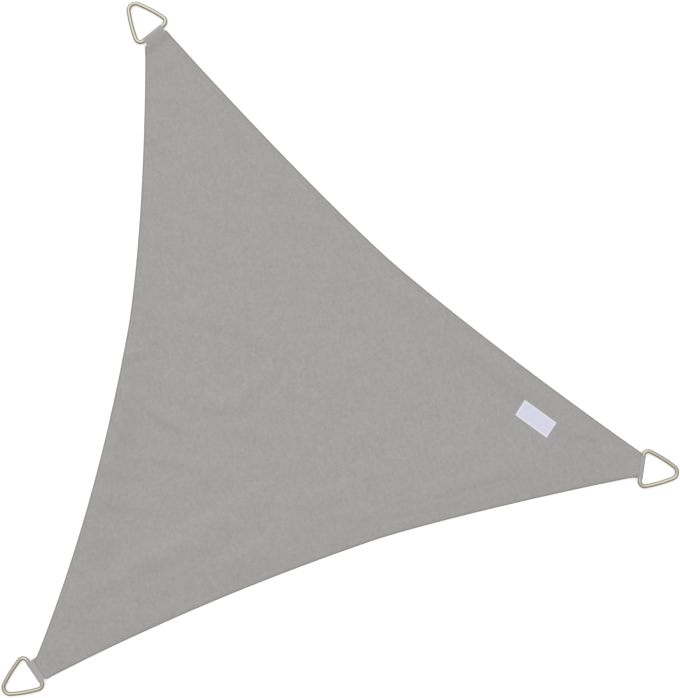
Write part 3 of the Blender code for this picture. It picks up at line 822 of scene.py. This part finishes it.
def makeLoop(name, corner, material):
    # a strip bent along the path, its height taken along the path's normal, its edges wandering in two sines
    path = loopPath()
    run = runAlong(path)
    normals = -turnedRight(unit(np.gradient(path, run, axis=0)))
    along, across, height = stripGrid(run[-1], web["width"], loop["thickness"], loop["alongCells"],
                                      loop["acrossCells"])
    longWaves, shortWaves = (along * 2 * math.pi / length for length in loop["wanderLengths"])
    wander = (np.sin(longWaves) + np.sin(shortWaves + 1)) * loop["edgeWander"]
    left = across - web["width"] / 2 + web["shift"] + wander * (2 * across / web["width"] - 1)
    points = []
    for sign in (1, -1):
        out, z = (np.interp(along, run, path[:, i]) + sign * height * np.interp(along, run, normals[:, i])
                  for i in (0, 1))
        points.append(np.dstack([toSheet(corner, out, left), z]).reshape(-1, 3))
    quads = bothSides(gridQuads(*along.shape), along.size)
    uv = np.tile(np.dstack([along, across]).reshape(-1, 2), (2, 1))
    piece = makePiece(name, np.vstack(points), quads, material, uv=uv)
    return piece


strapMaterial = webbingMaterial()
for place, corner in corners.items():
    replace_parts(makeLoop("loop" + place.capitalize(), corner, strapMaterial), "loop_" + place)
print("loops done")

label = dict(
    x=0.7008,
    y=-0.6212,
    turn=-54.2,
    skew=3.3,
    length=0.116,
    width=0.054,
    thickness=0.0006,
    hem=0.0055,  # of the paler turned-under edge
    hemBlur=0.0006,
    stitchInset=0.0025,
    warpPitch=0.0009,
    weftPitch=0.0007,
    white=(0.815, 0.815, 0.868),
    lilac=(0.705, 0.716, 0.848),
    shade=(0.30, 0.30, 0.36),
    shadeShare=0.16,
)


def labelMaterial():
    # a fine satin weave, paler where its edge is turned under; uv holds metres from its middle
    material, tree, shader = newMaterial("wovenPatch", label["white"], 0.7)
    where = shaderNode(tree, "ShaderNodeUVMap", uv_map="metres").outputs[0]
    axes = placeAxes(tree, where)
    pastHem = [calc(tree, "SUBTRACT", calc(tree, "ABSOLUTE", axes[axis]), label[size] / 2 - label["hem"])
               for axis, size in (("X", "length"), ("Y", "width"))]
    furthest = calc(tree, "MAXIMUM", *pastHem)
    turned = mapRange(tree, furthest, fromMin=-label["hemBlur"], fromMax=label["hemBlur"])
    warp = calc(tree, "SINE", waveTurns(tree, axes["X"], label["warpPitch"]))
    weft = calc(tree, "SINE", waveTurns(tree, axes["Y"], label["weftPitch"]))
    satin = calc(tree, "MULTIPLY_ADD", calc(tree, "MULTIPLY", warp, weft), 0.5, 0.5)
    uneven = calc(tree, "MULTIPLY_ADD", noise(tree, where, 90.0, 3.0, 0.6), 0.5,
                  calc(tree, "MULTIPLY", satin, 0.5))
    plain = mixColour(tree, turned, label["lilac"], label["white"])
    shaded = mixColour(tree, label["shadeShare"], plain, label["shade"])
    tree.links.new(mixColour(tree, uneven, shaded, plain), shader.inputs["Base Color"])
    fine = relief(tree, satin, 0.3, 0.0002)
    tree.links.new(relief(tree, turned, 0.5, 0.0004, over=fine), shader.inputs["Normal"])
    return material


def onLabel(alongAcross):
    # from metres along and across the patch, which is sewn on a little out of square, to the sail's x and y
    turns = math.radians(label["turn"]), math.radians(label["turn"] + 90 + label["skew"])
    axes = np.array([[math.cos(turn), math.sin(turn)] for turn in turns])
    return np.array([label["x"], label["y"]]) + alongAcross @ axes


def makeLabel(material):
    # a strip laid on the cloth's face, following it
    along, across, height = stripGrid(label["length"], label["width"], label["thickness"], 76, 36)
    fromMiddle = np.dstack([along - label["length"] / 2, across - label["width"] / 2]).reshape(-1, 2)
    xy = onLabel(fromMiddle)
    z = underside(xy) + cloth["thickness"] + lay["gap"] + label["thickness"] / 2
    points = np.vstack([np.column_stack([xy, z + sign * height.ravel()]) for sign in (1, -1)])
    quads = bothSides(gridQuads(*along.shape), along.size)
    return makePiece("labelPatch", points, quads, material, uv=np.tile(fromMiddle, (2, 1)))


labelPatch = makeLabel(labelMaterial())
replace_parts(labelPatch, "label")
print("label done")

thread = dict(
    grey=((0.45, 0.447, 0.435), (0.34, 0.338, 0.33)),  # light and dark
    white=((0.78, 0.78, 0.82), (0.62, 0.62, 0.66)),
    relief=0.0002,
)
stitch = dict(
    length=0.0046,
    pitch=0.0060,
    radius=0.00042,
    sides=5,
    arch=0.00025,
    sink=0.00012,  # into the face
    backArch=0.00020,
    drawnIn=0.00046,  # into the back
    offFloor=0.00015,
    hemDistance=0.0122,
    boxInset=0.008,
    seamGap=0.004,
    spare=1e-6,
)


def threadMaterial(name, light, dark):
    # twisted yarn
    material, tree, shader = newMaterial(name, light, 0.6)
    twist = noise(tree, objectPlace(tree), 900.0, 1.0)
    tree.links.new(mixColour(tree, twist, dark, light), shader.inputs["Base Color"])
    tree.links.new(relief(tree, twist, 0.5, thread["relief"]), shader.inputs["Normal"])
    return material


def cutIntoStitches(line):
    # starts and ends of stitches evenly spaced along a polyline; a row of whole pitches comes out the same
    # however its length is rounded
    run = runAlong(line)
    count = max(1, int(run[-1] / stitch["pitch"] - stitch["spare"]))
    starts = np.arange(count) * run[-1] / count
    ends = starts + stitch["length"] * run[-1] / count / stitch["pitch"]
    return [np.column_stack([np.interp(places, run, line[:, i]) for i in (0, 1)])
            for places in (starts, ends)]


def spindles(starts, ends, arch):
    # each stitch is rings of points around its line, thin at both ends and arched up by 4s(1-s)
    share = np.array([0.0, 0.16, 0.5, 0.84, 1.0])
    fullness = np.array([0.0, 0.8, 1.0, 0.8, 0.0])
    turns = np.arange(stitch["sides"]) * 2 * math.pi / stitch["sides"]
    run = ends - starts
    side = np.zeros_like(run)
    side[:, :2] = turnedRight(unit(run[:, :2]))
    centre = starts[:, None] + run[:, None] * share[:, None]
    centre[..., 2] += arch * 4 * share * (1 - share)
    up = np.array([0.0, 0.0, 1.0])
    spread = np.cos(turns)[:, None] * side[:, None] + np.sin(turns)[:, None] * up
    points = centre[:, :, None] + stitch["radius"] * fullness[:, None, None] * spread[:, None]
    one = gridQuads(len(share), len(turns), closeColumns=True)
    quads = one + np.arange(len(starts))[:, None, None] * len(share) * len(turns)
    return points.reshape(-1, 3), quads.reshape(-1, 4)


def makeStitches(name, lines, above, material, arch, onFloor=False):
    # rows of thread along polylines, so far above the cloth's underside, or above the floor
    starts, ends = [], []
    for line in lines:
        for places, kept in zip(cutIntoStitches(line), (starts, ends)):
            level = np.zeros(len(places)) if onFloor else underside(places)
            kept.append(np.column_stack([places, level + above]))
    points, quads = spindles(np.vstack(starts), np.vstack(ends), arch)
    return makePiece(name, points, quads, material)


def makeFaceStitches(name, lines, material, top=cloth["thickness"]):
    # rows that arch over the face and sink into it at their ends
    return makeStitches(name, lines, top - stitch["sink"], material, stitch["arch"])


def makeBackStitches(name, lines, material, onFloor=False):
    # the same rows from below, drawn into the cloth, or into the strap on the floor
    above = stitch["drawnIn"] + (stitch["offFloor"] if onFloor else 0.0)
    return makeStitches(name, lines, above, material, -stitch["backArch"], onFloor)


def hemLines():
    # one row along each side, in the hem's groove
    places = [np.arange(start, end + 1) % len(outline)
              for start, end in zip(edgeStarts[::2], edgeStarts[1::2])]
    return [outline[place] + inward[place] * stitch["hemDistance"] for place in places]


def boxLines(corner):
    # a box through the cloth and the tongue, crossed from corner to corner
    far, near = -web["tongue"] + stitch["boxInset"], -web["seam"] - stitch["seamGap"]
    half = web["width"] / 2 - stitch["boxInset"]
    low, high = web["shift"] - half, web["shift"] + half
    lines = [[(far, low), (near, low), (near, high), (far, high), (far, low)],
             [(far, low), (near, high)], [(near, low), (far, high)]]
    return [toSheet(corner, *np.transpose(line)) for line in lines]


def labelLine():
    # once round the patch, inside its edge
    x, y = label["length"] / 2 - label["stitchInset"], label["width"] / 2 - label["stitchInset"]
    return onLabel(np.array([(-x, -y), (x, -y), (x, y), (-x, y), (-x, -y)]))


greyThread = threadMaterial("greyThread", *thread["grey"])
hemTop = dict(hemSection[:10])[stitch["hemDistance"]]
hemStitches = makeFaceStitches("hemStitches", hemLines(), greyThread, top=hemTop)
boxes = [line for corner in corners.values() for line in boxLines(corner)]
cornerStitches = makeFaceStitches("cornerStitches", boxes, greyThread)
hemBackStitches = makeBackStitches("hemBackStitches", hemLines(), greyThread)
cornerBackStitches = makeBackStitches("cornerBackStitches", boxes, greyThread, onFloor=True)

whiteThread = threadMaterial("whiteThread", *thread["white"])
labelTop = cloth["thickness"] + lay["gap"] + label["thickness"]
labelStitches = makeFaceStitches("labelStitches", [labelLine()], whiteThread, top=labelTop)
labelBackStitches = makeBackStitches("labelBackStitches", [labelLine()], greyThread)
print("stitching done")

photo = dict(height=698, metresPerPixel=0.0029718, turn=18.2, centreX=0.2131, centreY=-0.2425)
lens = dict(focal=100.0, sensor=36.0, clipEnd=100.0)
studio = dict(
    floorSize=90.0,
    floorColour=(0.62, 0.62, 0.62),
    floorGlow=0.50,
    keyPower=34.0,
    keySize=4.0,
    keyDistance=5.5,
    keyTilt=28.0,
    glow=1.00,  # of the sky around the key light
    glowFocus=1.6,
    # place and brightness from straight down to straight up
    sky=[(0.0, 0.56), (0.40, 0.50), (0.49, 0.34), (0.55, 0.34), (0.75, 0.38), (1.0, 0.46)],
)


def makeFloor():
    # a pale matt square that glows a little, so that it comes out white
    material, _, shader = newMaterial("paleFloor", studio["floorColour"], 0.9)
    shader.inputs["Specular IOR Level"].default_value = 0.0
    shader.inputs["Emission Color"].default_value = (1.0, 1.0, 1.0, 1.0)
    shader.inputs["Emission Strength"].default_value = studio["floorGlow"]
    half = studio["floorSize"] / 2
    mesh = bpy.data.meshes.new("floor")
    mesh.from_pydata([(-half, -half, 0), (half, -half, 0), (half, half, 0), (-half, half, 0)], [],
                     [(0, 1, 2, 3)])
    mesh.materials.append(material)
    floor = newObject("floor", mesh)
    floor.visible_glossy = False


def keyDirection():
    # towards the light's side, leaning off the vertical
    tilt = math.radians(studio["keyTilt"])
    return np.append(lightSide * math.sin(tilt), math.cos(tilt))


def makeSky():
    # a plain soft surround, darkest at the horizon, with a wide glow around the key light
    world = bpy.data.worlds.new("studioSurround")
    bpy.context.scene.world = world
    world.use_nodes = True
    tree = world.node_tree
    where = shaderNode(tree, "ShaderNodeTexCoord").outputs["Generated"]
    height = calc(tree, "MULTIPLY_ADD", placeAxes(tree, where)["Z"], 0.5, 0.5)
    ramp = shaderNode(tree, "ShaderNodeValToRGB", {"Fac": height})
    while len(ramp.color_ramp.elements) < len(studio["sky"]):
        ramp.color_ramp.elements.new(0.5)
    for element, (place, level) in zip(ramp.color_ramp.elements, studio["sky"]):
        element.position = place
        element.color = (level, level, level, 1.0)
    sockets = {0: where, 1: keyDirection().tolist()}
    towards = shaderNode(tree, "ShaderNodeVectorMath", sockets, operation="DOT_PRODUCT")
    facing = calc(tree, "MAXIMUM", towards.outputs["Value"], 0.0)
    glow = calc(tree, "MULTIPLY", calc(tree, "POWER", facing, studio["glowFocus"]), studio["glow"])
    total = calc(tree, "ADD", glow, ramp.outputs[0])
    tree.links.new(total, tree.nodes["Background"].inputs["Color"])


def makeKey():
    # one big soft light
    data = bpy.data.lights.new("keyLight", "AREA")
    data.energy, data.size = studio["keyPower"], studio["keySize"]
    key = newObject("keyLight", data)
    towards = Vector(keyDirection().tolist())
    key.location = Vector((photo["centreX"], photo["centreY"], 0.0)) + towards * studio["keyDistance"]
    key.rotation_euler = towards.to_track_quat("Z", "Y").to_euler()


def makeCamera():
    # straight above, so high that the lens frames the photo's height
    data = bpy.data.cameras.new("camera")
    data.lens, data.sensor_width, data.clip_end = lens["focal"], lens["sensor"], lens["clipEnd"]
    camera = newObject("camera", data)
    away = photo["height"] * photo["metresPerPixel"] * lens["focal"] / lens["sensor"]
    camera.location = (photo["centreX"], photo["centreY"], away)
    camera.rotation_euler = (0, 0, -math.radians(photo["turn"]))
    bpy.context.scene.camera = camera


makeFloor()
makeSky()
makeKey()
makeCamera()
bpy.context.scene.view_settings.view_transform = "Standard"
print("studio done")
